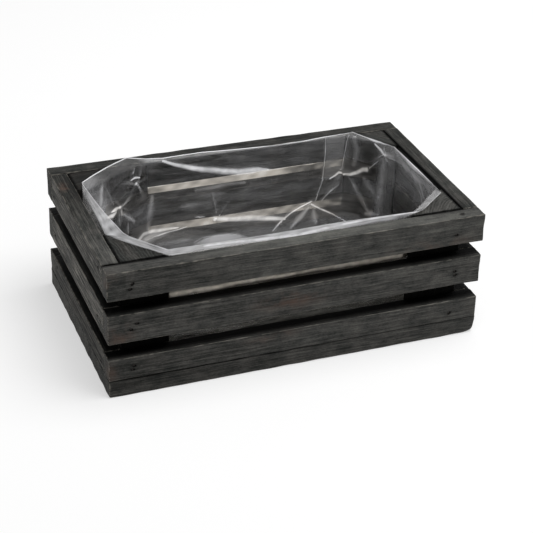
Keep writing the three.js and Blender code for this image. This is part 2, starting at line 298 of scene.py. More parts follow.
def stained_softwood():
    """Spruce or pine, sawn, brushed with thin charcoal stain and left matt. The stain sits darker in the
    soft early wood and paler on the fibres, so the eye sees fine long lines, slow cloudy patches, warm wood
    breaking through in places and paler rubbed arrises; a painted shade turns the depth between the slats
    black."""
    material, tree = new_material("charcoal_stained_softwood")
    timber = add(tree, "ShaderNodeAttribute", attribute_name="timber").outputs["Vector"]
    arris, hole, blush, endgrain, tone, deep, wear = [
        add(tree, "ShaderNodeAttribute", attribute_name=key).outputs["Fac"]
        for key in ("arris", "hole", "blush", "endgrain", "tone", "deep", "wear")
    ]
    # Five patterns, each with its cells per millimetre along the trunk and across it.
    fibres, streaks, clouds, specks, rub = [
        add(tree, "ShaderNodeTexNoise", {
            "Vector": add(tree, "ShaderNodeMapping", {"Vector": timber, "Scale": (along, across, across)}),
            "Scale": 1.0, "Detail": detail, "Roughness": roughness, "Distortion": distortion,
        })
        for along, across, detail, roughness, distortion in (
            # Fibres: about 1.3 mm across and 30 mm long, coarser than the real 0.3 mm so that they show.
            (0.034, 0.8, 5.0, 0.68, 0.0),
            # Streaks: darker and paler bands 3 to 8 mm wide and 80 mm long.
            (0.013, 0.2, 5.0, 0.64, 0.3),
            # Clouds: uneven take-up of the stain, 10 to 30 mm across.
            (0.06, 0.07, 4.0, 0.62, 0.0),
            # Specks: pores and dust, under a millimetre across.
            (0.55, 1.3, 2.0, 0.7, 0.0),
            # Rubs: the short broken lengths in which an arris is worn.
            (0.14, 0.5, 3.0, 0.5, 0.0),
        )
    ]
    # Year rings 2 mm apart, a little wavy, faint along the faces and stronger and curved on the ends.
    ring_at = add(tree, "ShaderNodeMapping", {"Vector": timber, "Scale": (0.02, 1.0, 1.0)})
    rings = add(tree, "ShaderNodeTexWave",
                {"Vector": ring_at, "Scale": 0.157, "Distortion": 3.0, "Detail": 3.0,
                 "Detail Scale": 0.12, "Detail Roughness": 0.5},
                wave_type="RINGS", rings_direction="X", wave_profile="SAW").outputs["Fac"]
    ring_share = add(tree, "ShaderNodeMapRange", {"Value": endgrain, "To Min": 0.04, "To Max": 0.085})
    figure = fibres
    for share, pattern in ((0.45, streaks), (0.36, clouds), (0.2, specks), (ring_share, rings)):
        figure = add(tree, "ShaderNodeMix", {0: share, 2: figure, 3: pattern})
    figure = add(tree, "ShaderNodeMath", {0: figure, 1: tone}, operation="ADD")
    ramp = add(tree, "ShaderNodeValToRGB", {"Fac": figure})
    stops = ramp.color_ramp.elements
    stops[0].position, stops[0].color = 0.33, linear("#131413")
    stops[1].position, stops[1].color = 0.66, linear("#6b6c67")
    stops.new(0.43).color = linear("#2f302e")
    stops.new(0.51).color = linear("#474745")
    # Warm wood where the stain is thin, in its own places and faintly everywhere.
    warm_clouds = add(tree, "ShaderNodeMapRange",
                      {"Value": clouds, "From Min": 0.4, "From Max": 0.65, "To Max": 1.0})
    warm_share = add(tree, "ShaderNodeMath", {0: blush, 1: 0.07}, operation="MAXIMUM")
    warm = add(tree, "ShaderNodeMath", {0: warm_clouds, 1: warm_share}, operation="MULTIPLY")
    # Worn fibres: pale broken lines where the surface is weathered, and the same on rubbed arrises.
    worn_fibres = add(tree, "ShaderNodeMapRange",
                      {"Value": fibres, "From Min": 0.5, "From Max": 0.72, "To Max": 0.9})
    worn = add(tree, "ShaderNodeMath", {0: worn_fibres, 1: wear}, operation="MULTIPLY")
    rub_lengths = add(tree, "ShaderNodeMapRange",
                      {"Value": rub, "From Min": 0.40, "From Max": 0.62, "To Max": 0.8})
    rubbed = add(tree, "ShaderNodeMath", {0: rub_lengths, 1: arris}, operation="MULTIPLY")
    # Warm wood, weathered fibres, painted shade in the depth between the slats, paler arrises, and
    # seams, nail holes and painted shade lines in gaps, one over the other.
    colour = ramp.outputs["Color"]
    for share, shade in ((warm, "#57453c"), (worn, "#908c84"), (deep, "#030303"), (rubbed, "#8b877f"),
                         (hole, "#020202")):
        layer = add(tree, "ShaderNodeMix", {0: share, 6: colour, 7: linear(shade)}, data_type="RGBA")
        colour = layer.outputs[2]
    rough = add(tree, "ShaderNodeMapRange",
                {"Value": fibres, "From Min": 0.3, "From Max": 0.7, "To Min": 0.82, "To Max": 0.62})
    # Seams, holes, painted shade lines and the painted shade between the slats don't shine.
    dull = add(tree, "ShaderNodeMath", {0: hole, 1: deep}, operation="MAXIMUM")
    shine = add(tree, "ShaderNodeMix", {0: dull, 6: linear("#ffffff"), 7: linear("#000000")},
                data_type="RGBA")
    relief = add(tree, "ShaderNodeMix", {0: 0.2, 2: fibres, 3: rings})
    bump = add(tree, "ShaderNodeBump", {"Height": relief, "Strength": 0.7, "Distance": 0.0005})
    body = add(tree, "ShaderNodeBsdfPrincipled",
               {"Base Color": colour, "Roughness": rough, "Normal": bump,
                "IOR": 1.47, "Specular IOR Level": 0.12, "Specular Tint": shine.outputs[2]})
    add(tree, "ShaderNodeOutputMaterial", {"Surface": body})
    return material


slat_stain = stained_softwood()


def sawn_board(name, tone=0.0, wear=0.15, tint=(), tone_and_shade_spots=(), blunt=(), painted_shade_lines=()):
    """A sawn board in the place of its CAD node. Each lattice point is pulled back into the box shrunk
    by the arris radius and pushed out again along the same line, which rounds edges and corners; the
    radius wanders along the edge, the faces wander inwards by about a quarter millimetre, and round each
    nail the surface drops to the sunk head. Tops under a higher slat get a painted shade that darkens
    inwards, and undersides a painted shade throughout. Its own tone is added to the figure, and so are the
    tone and shade spots, some of them painted shade; tint spots are warm, blunt ones round the edges more,
    and the shade lines are painted shade in gaps."""
    low, high = node_box(name)
    grain = 1 if "_end_" in name else 0
    dice = np.random.default_rng(zlib.crc32(name.encode()))
    nails = nails_at(name.replace("_board", "").replace("_slat", "").replace("_end", ""))
    steps = [LATTICE_STEP] * 3
    steps[grain] = LATTICE_STEP_ALONG_GRAIN
    stops = []
    for axis in range(3):
        refine = [c[axis] for c, nail_axis, _ in nails if nail_axis != axis]
        stops.append(ticks(low[axis], high[axis], steps[axis], refine))
    flat, quads = lattice_shell(*stops)
    # The seam between the floor and the slats on it: a floor board's top edge and a bottom slat's foot.
    in_floor, on_floor = high[2] < FLOOR_TOP + 1, low[2] < FLOOR_TOP + 1
    foot = on_floor & (flat[:, 2] < low[2] + SEAM_HEIGHT)
    seam = np.where(in_floor, flat[:, 2] > high[2] - SEAM_HEIGHT, foot)
    stretch = np.array([9.0, 9.0, 9.0])
    stretch[grain] = 34.0
    radius = ARRIS_RADIUS + ARRIS_WANDER * ripple(flat, dice, stretch, 6) + spots(flat, blunt)
    radius = np.clip(radius - 0.6 * seam, 0.35, 6.0)[:, None]
    inner = np.clip(flat, low + radius, high - radius)
    out = flat - inner
    out /= np.linalg.norm(out, axis=1)[:, None]
    points = inner + radius * out
    corner = np.sort(np.abs(out), axis=1)
    arris = np.clip(corner[:, 1] / 0.7, 0, 1)
    stretch[grain] = 110.0
    wander = 0.25 * (ripple(flat, dice, stretch * 2.2, 4) - 1.2) * 0.5
    points += out * np.minimum(wander, 0.0)[:, None]
    hole = np.zeros(len(points))
    for centre, axis, sign in nails:
        others = [i for i in range(3) if i != axis]
        on_face = np.abs(flat[:, axis] - (high if sign > 0 else low)[axis]) < 1e-6
        swing = dice.uniform(-0.5, 0.9)
        da, db = flat[:, others[0]] - centre[others[0]], flat[:, others[1]] - centre[others[1]]
        u = da * math.cos(swing) + db * math.sin(swing)
        v = db * math.cos(swing) - da * math.sin(swing)
        away_from = np.hypot(u / 1.28, v / 1.0)
        sunk = np.clip((SUNK_RADIUS - away_from) / 0.30, 0, 1)
        sunk = sunk * sunk * (3 - 2 * sunk)
        torn = np.exp(-(u / 2.6) ** 2 - (v / 1.3) ** 2)
        points[:, axis] -= sign * on_face * (SUNK_DEPTH * sunk + TORN_DEPTH * torn)
        hole = np.maximum(hole, on_face * np.clip(1.4 * sunk + 0.95 * torn, 0, 1))
    side = 1 - grain
    outward = 1 if low[side] + high[side] > 0 else -1
    inside_by = (high[side] - flat[:, side]) if outward > 0 else (flat[:, side] - low[side])
    # Painted shade where the slats shade each other: a covered top darkens from its outer edge inwards, and
    # an underside is dark.
    covered_top = (flat[:, 2] > high[2] - 1e-6) & (high[2] < WOOD_TOP - 1) & (not in_floor)
    underside = (flat[:, 2] < low[2] + 1e-6) & (not on_floor)
    edge_shade = 0.15 if grain == 0 else 0.5
    deep = covered_top * np.clip(edge_shade + inside_by / 8.0, 0, 1) + underside * 0.9
    # The seam over the floor gapes in places, less so towards the right.
    gaping = np.clip(0.3 + 0.6 * ripple(flat, dice, stretch * 0.2, 5), 0, 1)
    gaping *= np.interp(flat[:, 0], (-40, 40), (1.0, 0.35))
    # Painted shade lines darken the gaps where a top slat meets the film or a post.
    hole = np.clip(np.maximum(hole, seam * gaping) + spots(flat, painted_shade_lines), 0, 1)
    # What the stain reads at each point: its place in the tree, and how far it is a rubbed arris, a hole,
    # seam or painted shade line, warm wood, sawn end and painted depth shade, and its own tone, with painted
    # shade spots, and weathering.
    fields = {
        "timber": timber_place(points, grain, dice),
        "arris": arris * (1 - seam),
        "hole": hole,
        "blush": np.clip(spots(flat, tint), 0, 1),
        "endgrain": np.clip(np.abs(out[:, grain]) * 1.6 - 0.5, 0, 1),
        # Tone and shade spots: the front's painted shade towards its left end, and spots of the wood's own
        # tone.
        "tone": tone + 0.5 * dice.uniform(-0.06, 0.06) + spots(flat, tone_and_shade_spots),
        "deep": deep,
        "wear": wear * (0.15 + 0.85 * (inside_by < 0.8)),
    }
    show_piece(name + "_timber", name, points, quads, fields, slat_stain)


# The front gets a painted shade towards its left end, where less light falls. One corner of the front
# board is worn round, and the boards' ends stay sharp where two of them meet.
FRONT_LEFT_SHADE = ((-160, -100, 60), (110, 60, 200), -0.045)
WORN_CORNER = [((170, -100, 0), (7, 7, 7), 4.0)]
CLOSE_ENDS = [((x, y, 8), (6, 6, 16), -1.0) for x in (-170, 170) for y in (-33, 33)]
sawn_board("floor_board_front", tone=-0.02, tone_and_shade_spots=[FRONT_LEFT_SHADE], blunt=WORN_CORNER + CLOSE_ENDS)
sawn_board("floor_board_middle", blunt=CLOSE_ENDS)
sawn_board("floor_board_back", tone=0.01, blunt=CLOSE_ENDS)

# Slats. Twelve sawn softwood battens in three rows on four sides, stained like the floor and nailed through
# their ends into the posts; the long ones cover the ends of the short ones. Each has its own tone, warm
# patches and weathering, and the shade lines along some top slats' inner edges are painted shade.
sawn_board("front_slat_bottom", tone=-0.01, tone_and_shade_spots=[FRONT_LEFT_SHADE],
           tint=[((-26, -100, 33), (24, 8, 5), 0.6), ((-168, -100, 25), (6, 9, 9), 0.6)])
sawn_board("front_slat_middle", tone_and_shade_spots=[FRONT_LEFT_SHADE],
           tint=[((-8, -100, 67), (26, 12, 9), 0.9), ((-160, -100, 60), (11, 9, 9), 1.0)])
sawn_board("front_slat_top",
           tone_and_shade_spots=[FRONT_LEFT_SHADE, ((0, -90, 121), (90, 12, 2), 0.09),
                 ((150, -93, 120), (1.6, 1.4, 3), -0.6)],
           tint=[((-168, -100, 108), (7, 9, 10), 0.8), ((120, -100, 97), (40, 9, 7), 0.5)],
           painted_shade_lines=[((-140, -85, 120), (32, 2.0, 2.6), 1.8), ((138, -85, 120), (26, 1.8, 2.4), 1.7)])
sawn_board("back_slat_bottom")
sawn_board("back_slat_middle")
sawn_board("back_slat_top", tone=-0.09)
sawn_board("left_end_slat_bottom", tone=-0.12, wear=0.7)
sawn_board("left_end_slat_middle", tone=0.02, wear=1.9, tone_and_shade_spots=[((-170, 43, 57), (9, 5, 6), -0.35)])
sawn_board("left_end_slat_top", tone=-0.06, wear=1.2,
           tone_and_shade_spots=[((-162, 70, 121), (30, 70, 2), -0.12), ((-162, -60, 121), (30, 50, 2), 0.08)],
           tint=[((-164, 58, 120), (5, 9, 7), 1.0)], painted_shade_lines=[((-162, -85, 120), (12, 1.8, 2.4), 1.2)])
sawn_board("right_end_slat_bottom", wear=0.45)
sawn_board("right_end_slat_middle", wear=0.45)
sawn_board("right_end_slat_top", tone=-0.08, wear=0.45, painted_shade_lines=[((155, 0, 120), (1.9, 130, 2.4), 1.7)])


# Corner posts. Four triangular offcuts of the same stained softwood stand in the corners, with two faces
# nailed to the slats, the sloping face inwards and the sawn end grain on top.
POST_ARRIS = 1.3
SOFTENING = 0.6
CAP_SHARES = np.array([0.97, 0.92, 0.85, 0.76, 0.66, 0.55, 0.44, 0.33, 0.22, 0.11])


def ring_place(points, dice, pith):
    """Where each point of a post lay in the tree: along the trunk, three quarters of the distance from the
    pith with a little waviness, and an eighth of the way round the pith, so that every streak on the sawn
    end follows the year rings."""
    along, first, second = timber_place(points, 2, dice, pith).T
    radius = np.hypot(first, second)
    return np.stack([along, 0.75 * radius + 0.35 * ripple(points, dice, (26, 26, 60), 4),
                     0.125 * radius * np.arctan2(second, first)], axis=1)


def corner_post(name, tone, pith):
    """A triangular post: a rounded triangle carried up in level rings, drawn in at both ends for the
    arris along a quarter circle, and closed by rings that shrink to a point in the middle of each end."""
    low, high = node_box(name)
    dice = np.random.default_rng(zlib.crc32(name.encode()))
    sx, sy = (-1 if low[0] < 0 else 1), (-1 if low[1] < 0 else 1)
    heel = np.array([low[0] if sx < 0 else high[0], low[1] if sy < 0 else high[1]])
    toe_x = np.array([high[0] if sx < 0 else low[0], heel[1]])
    toe_y = np.array([heel[0], high[1] if sy < 0 else low[1]])
    tri = np.array([heel, toe_x, toe_y])
    if np.cross(tri[1] - tri[0], tri[2] - tri[0]) < 0:
        tri = tri[[0, 2, 1]]
    # Stops round the outline and up the post: crowded at the corners and both ends, even in between.
    ring = []
    for i in range(3):
        a, b = tri[i], tri[(i + 1) % 3]
        run = b - a
        size = np.linalg.norm(run)
        share = np.concatenate([[0.0, 0.35, 0.9, 1.7], np.linspace(3.2, size - 3.2, max(4, int(size / 2.2))),
                                [size - 1.7, size - 0.9, size - 0.35]]) / size
        ring.append(a + share[:, None] * run)
    outline = np.concatenate(ring)
    centre = tri.mean(0)
    ahead, behind = np.roll(outline, -2, 0), np.roll(outline, 2, 0)
    outline = outline * (1 - SOFTENING * 0.5) + (ahead + behind) * SOFTENING * 0.25
    levels = np.concatenate([[0.0, 0.2, 0.5, 0.9, 1.6], np.linspace(4, high[2] - low[2] - 4, 34),
                             high[2] - low[2] - np.array([1.6, 0.9, 0.5, 0.2, 0.0])]) + low[2]
    edge = np.minimum(levels - low[2], high[2] - levels)
    short = np.clip(POST_ARRIS - edge, 0, POST_ARRIS)
    draw = POST_ARRIS - np.sqrt(np.clip(POST_ARRIS ** 2 - short ** 2, 0, None))
    reach = np.linalg.norm(outline - centre, axis=1)
    toward = (centre - outline) / reach[:, None]
    body = outline[None] + draw[:, None, None] * toward[None]
    n = len(outline)
    wall = np.concatenate([body, np.repeat(levels[:, None, None], n, 1)], axis=2)
    base, lid = [
        np.concatenate([centre + CAP_SHARES[:, None, None] * (body[end][None] - centre),
                        np.full((len(CAP_SHARES), n, 1), levels[end])], axis=2)
        for end in (0, -1)
    ]
    grid = np.concatenate([base[::-1], wall, lid])
    rows = len(grid)
    points = grid.reshape(-1, 3)
    number = np.arange(rows * n).reshape(rows, n)
    right = np.roll(number, -1, axis=1)
    quads = np.stack([number[:-1], right[:-1], right[1:], number[1:]], axis=-1).reshape(-1, 4)
    poles = np.array([[*centre, levels[0]], [*centre, levels[-1]]])
    fan_low = np.stack([right[0], number[0], np.full(n, rows * n)], axis=-1)
    fan_high = np.stack([number[-1], right[-1], np.full(n, rows * n + 1)], axis=-1)
    points = np.concatenate([points, poles])
    on_top = points[:, 2] > high[2] - 0.95
    saw = 0.12 * ripple(points, dice, (6.0, 6.0, 50.0), 4)
    points[:, 2] += np.where(on_top, np.minimum(saw - 0.15, 0.0), 0.0)
    from_middle = np.abs(points[:, 2] - (high[2] + low[2]) / 2)
    at_end = np.clip((from_middle - (high[2] - low[2]) / 2 + 1.2) / 0.8, 0, 1)
    to_end, to_side = np.abs(points[:, 0] - heel[0]), np.abs(points[:, 1] - heel[1])
    to_slats = np.minimum(to_end, to_side)
    # Along the two nailed sides of the sawn top runs a dark slot, where post and slats don't quite meet.
    slot_width = 2.9 if sy < 0 else 2.3
    fields = {
        "timber": ring_place(points, dice, pith),
        "arris": np.zeros(len(points)),
        "hole": at_end * np.clip(np.maximum(slot_width - to_side, 2.4 - to_end), 0, 1),
        "blush": np.full(len(points), 0.1),
        "endgrain": at_end,
        "tone": np.full(len(points), tone),
        # Painted shade: the two faces against the slats, seen only through the gaps, are dark.
        "deep": 0.93 * (1 - at_end) * (to_slats < 1.0),
        "wear": np.zeros(len(points)),
    }
    fans = np.concatenate([fan_low, fan_high])
    show_piece(name + "_timber", name, points, quads, fields, slat_stain, fans)


corner_post("corner_post_front_left", -0.07, (0.1, 400.0))
corner_post("corner_post_front_right", -0.02, (2.4, 60.0))
corner_post("corner_post_back_left", -0.18, (1.2, 50.0))
corner_post("corner_post_back_right", -0.06, (3.9, 60.0))

# Film liner. One sheet of clear polythene, pushed into the box, folded over at the corners, trimmed a few
# millimetres above the wood and pinned to the posts with staples. It stands free of the boards in places,
# and its bottom edges bridge the corners in wide curves.
FILM_FLOOR = 16.75
NECK_HEIGHT = 119.3
WALL_STANDOFF = 0.8
BEND_POWER = 1.7
LOOSE_FROM, LOOSENING = 88.0, 60.0
# Each station: where the film lies on wall or post (x, y), its rim there (x, y, z), how far the film
# stands in at the wood's top edge, the radius of its bottom bend, how white its trimmed edge strip is,
# and how close its columns of points are. Anticlockwise from the front left.
LINER_STATIONS = np.array([
    (-112.0, -84.2, -113.4, -84.8, 125.6, 0.9, 24.0, 0.62, 0.60),
    (-86.0, -84.2, -86.0, -84.7, 125.1, 0.9, 24.0, 0.36, 0.50),
    (-51.0, -84.2, -51.0, -84.7, 124.7, 0.9, 34.0, 0.46, 0.50),
    (2.0, -84.2, 2.5, -84.9, 125.2, 0.9, 44.0, 0.56, 0.50),
    (43.0, -84.2, 43.4, -84.9, 126.0, 0.9, 44.0, 0.50, 0.50),
    (90.0, -84.2, 97.0, -84.7, 124.5, 0.9, 26.0, 0.30, 0.50),
    (104.0, -84.2, 115.5, -84.8, 124.0, 0.9, 24.0, 0.30, 0.60),
    (129.0, -63.7, 131.0, -71.0, 122.8, 1.5, 28.0, 0.18, 0.70),
    (154.2, -43.0, 149.0, -55.0, 122.2, 3.0, 28.0, 0.22, 0.80),
    (154.2, 0.0, 149.2, -5.0, 122.0, 6.8, 30.0, 0.24, 0.95),
    (154.2, 48.0, 148.4, 43.0, 122.0, 5.0, 30.0, 0.20, 1.00),
    (134.5, 66.1, 135.0, 64.8, 122.0, 1.0, 30.0, 0.07, 1.00),
    (115.0, 84.2, 122.5, 84.2, 122.0, 0.9, 32.0, 0.08, 1.00),
    (95.0, 84.2, 95.0, 84.2, 121.3, 0.9, 36.0, 0.12, 1.00),
    (70.0, 84.2, 70.0, 84.2, 119.9, 0.9, 38.0, 0.18, 1.00),
    (40.0, 84.2, 40.0, 84.2, 119.6, 0.9, 36.0, 0.16, 1.00),
    (0.0, 84.2, 0.0, 84.2, 121.3, 0.9, 34.0, 0.14, 1.00),
    (-30.0, 84.2, -29.5, 84.2, 123.0, 0.9, 36.0, 0.10, 1.00),
    (-65.0, 84.2, -65.0, 84.2, 122.5, 0.9, 32.0, 0.06, 1.00),
    (-79.0, 84.2, -82.0, 84.2, 124.0, 0.9, 30.0, 0.03, 1.00),
    (-98.0, 75.1, -102.8, 74.1, 133.1, 0.9, 30.0, 0.02, 1.00),
    (-117.0, 66.0, -122.0, 64.7, 131.8, 0.9, 30.0, 0.02, 1.00),
    (-136.0, 56.9, -138.0, 56.9, 129.4, 1.5, 30.0, 0.04, 1.00),
    (-154.2, 48.1, -150.0, 52.5, 125.3, 3.0, 30.0, 0.12, 0.85),
    (-154.2, 10.0, -146.8, 12.0, 124.5, 3.0, 32.0, 0.46, 0.50),
    (-154.2, -10.0, -145.0, -9.0, 125.0, 2.4, 30.0, 0.50, 0.50),
    (-154.2, -34.2, -140.0, -46.0, 125.0, 1.2, 28.0, 0.50, 0.50),
    (-147.0, -42.8, -137.0, -53.0, 125.2, 0.9, 28.0, 0.58, 0.60),
    (-133.0, -59.4, -131.5, -61.5, 125.6, 0.9, 26.0, 0.72, 0.60),
    (-122.0, -72.3, -122.5, -74.5, 126.0, 0.9, 24.0, 0.68, 0.60),
])
COLUMNS, STRIP_ROWS, WALL_ROWS, BEND_ROWS, FLOOR_ROWS = 650, 6, 62, 44, 24

station_loop = np.vstack([LINER_STATIONS, LINER_STATIONS[:1]])
station_run = np.concatenate([[0.0], np.cumsum(np.hypot(*np.diff(station_loop[:, :2], axis=0).T))])
girth = station_run[-1]
fine_run = np.linspace(0, girth, 4000)
crowding = np.cumsum(np.interp(fine_run, station_run, station_loop[:, 8]))
round_run = np.interp(np.arange(COLUMNS) * crowding[-1] / COLUMNS, crowding, fine_run)


def along_liner(column, soft):
    """A station value at every column of the film: straight lines between stations, averaged over the
    given distance to both sides."""
    runs = round_run + np.linspace(-soft, soft, 15)[:, None]
    return np.interp(runs % girth, station_run, station_loop[:, column]).mean(0)


def inward(path):
    """Unit vectors to the left of a closed path of points: the run from neighbour to neighbour, turned
    by a quarter."""
    run = np.roll(path, -1, axis=0) - np.roll(path, 1, axis=0)
    return np.stack([-run[:, 1], run[:, 0]], axis=1) / np.linalg.norm(run, axis=1)[:, None]


def film_surface():
    """The smooth film as rows of points from the rim to the middle of the floor: straight from rim to
    neck, down the wall, round a bend, where the powers of both distances from its centre add up to one, and
    flat to the middle. Lower rows follow a rounder outline than upper ones."""
    tight = np.stack([along_liner(0, 3.0), along_liner(1, 3.0)], axis=1)
    loose = np.stack([along_liner(0, 34.0), along_liner(1, 34.0)], axis=1)
    tight_in, loose_in = inward(tight), inward(loose)
    rim = np.stack([along_liner(c, 1.2) for c in (2, 3, 4)], axis=1)
    neck, bend = along_liner(5, 6.0), along_liner(6, 12.0)

    def at(inset, height, looseness):
        """One row of film: the tight outline mixed with the loose one by their shares, and moved inwards."""
        share = looseness[:, None] if np.ndim(looseness) else looseness
        path = tight * (1 - share) + loose * share
        turn = tight_in * (1 - share) + loose_in * share
        turn = turn / np.linalg.norm(turn, axis=1)[:, None]
        return np.column_stack([path + turn * np.reshape(inset, (-1, 1)), np.broadcast_to(height, COLUMNS)])

    rows = []
    neck_line = at(neck, NECK_HEIGHT, 0.0)
    for t in np.linspace(0, 1, STRIP_ROWS + 1)[:-1]:
        rows.append(rim * (1 - t) + neck_line * t)
    for t in np.linspace(0, 1, WALL_ROWS):
        height = NECK_HEIGHT + t * (FILM_FLOOR + bend - NECK_HEIGHT)
        settle = np.clip(1 - (NECK_HEIGHT - height) / 26.0, 0, 1) ** 2
        looseness = np.clip((LOOSE_FROM - height) / LOOSENING, 0, 1) ** 1.5
        rows.append(at(WALL_STANDOFF + (neck - WALL_STANDOFF) * settle, height, looseness))
    looseness_low = np.clip((LOOSE_FROM - FILM_FLOOR - bend) / LOOSENING, 0, 1) ** 1.5
    for a in np.linspace(0, np.pi / 2, BEND_ROWS + 1)[1:]:
        inset = WALL_STANDOFF + bend * (1 - math.cos(a) ** (2 / BEND_POWER))
        height = FILM_FLOOR + bend * (1 - math.sin(a) ** (2 / BEND_POWER))
        rows.append(at(inset, height, looseness_low + (1 - looseness_low) * math.sin(a)))
    edge = rows[-1]
    middle = np.array([0.0, 0.0, FILM_FLOOR])
    for t in np.linspace(0, 1, FLOOR_ROWS + 1)[1:-1]:
        rows.append(edge * (1 - t) + middle * t)
    return np.array(rows), middle


film_rows, film_middle = film_surface()
row_count = len(film_rows)
film_base = film_rows.reshape(-1, 3)
film_round = np.roll(film_rows, -1, axis=1) - np.roll(film_rows, 1, axis=1)
film_in = np.cross(film_round, np.gradient(film_rows, axis=0))
film_in = (film_in / np.linalg.norm(film_in, axis=2)[..., None]).reshape(-1, 3)
film_number = np.arange(row_count * COLUMNS).reshape(row_count, COLUMNS)
film_next = np.roll(film_number, -1, axis=1)
film_quads = np.stack([film_number[:-1], film_next[:-1], film_next[1:], film_number[1:]], axis=-1)
film_quads = film_quads.reshape(-1, 4)
film_fan = np.stack([film_number[-1], film_next[-1], np.full(COLUMNS, row_count * COLUMNS)], axis=-1)
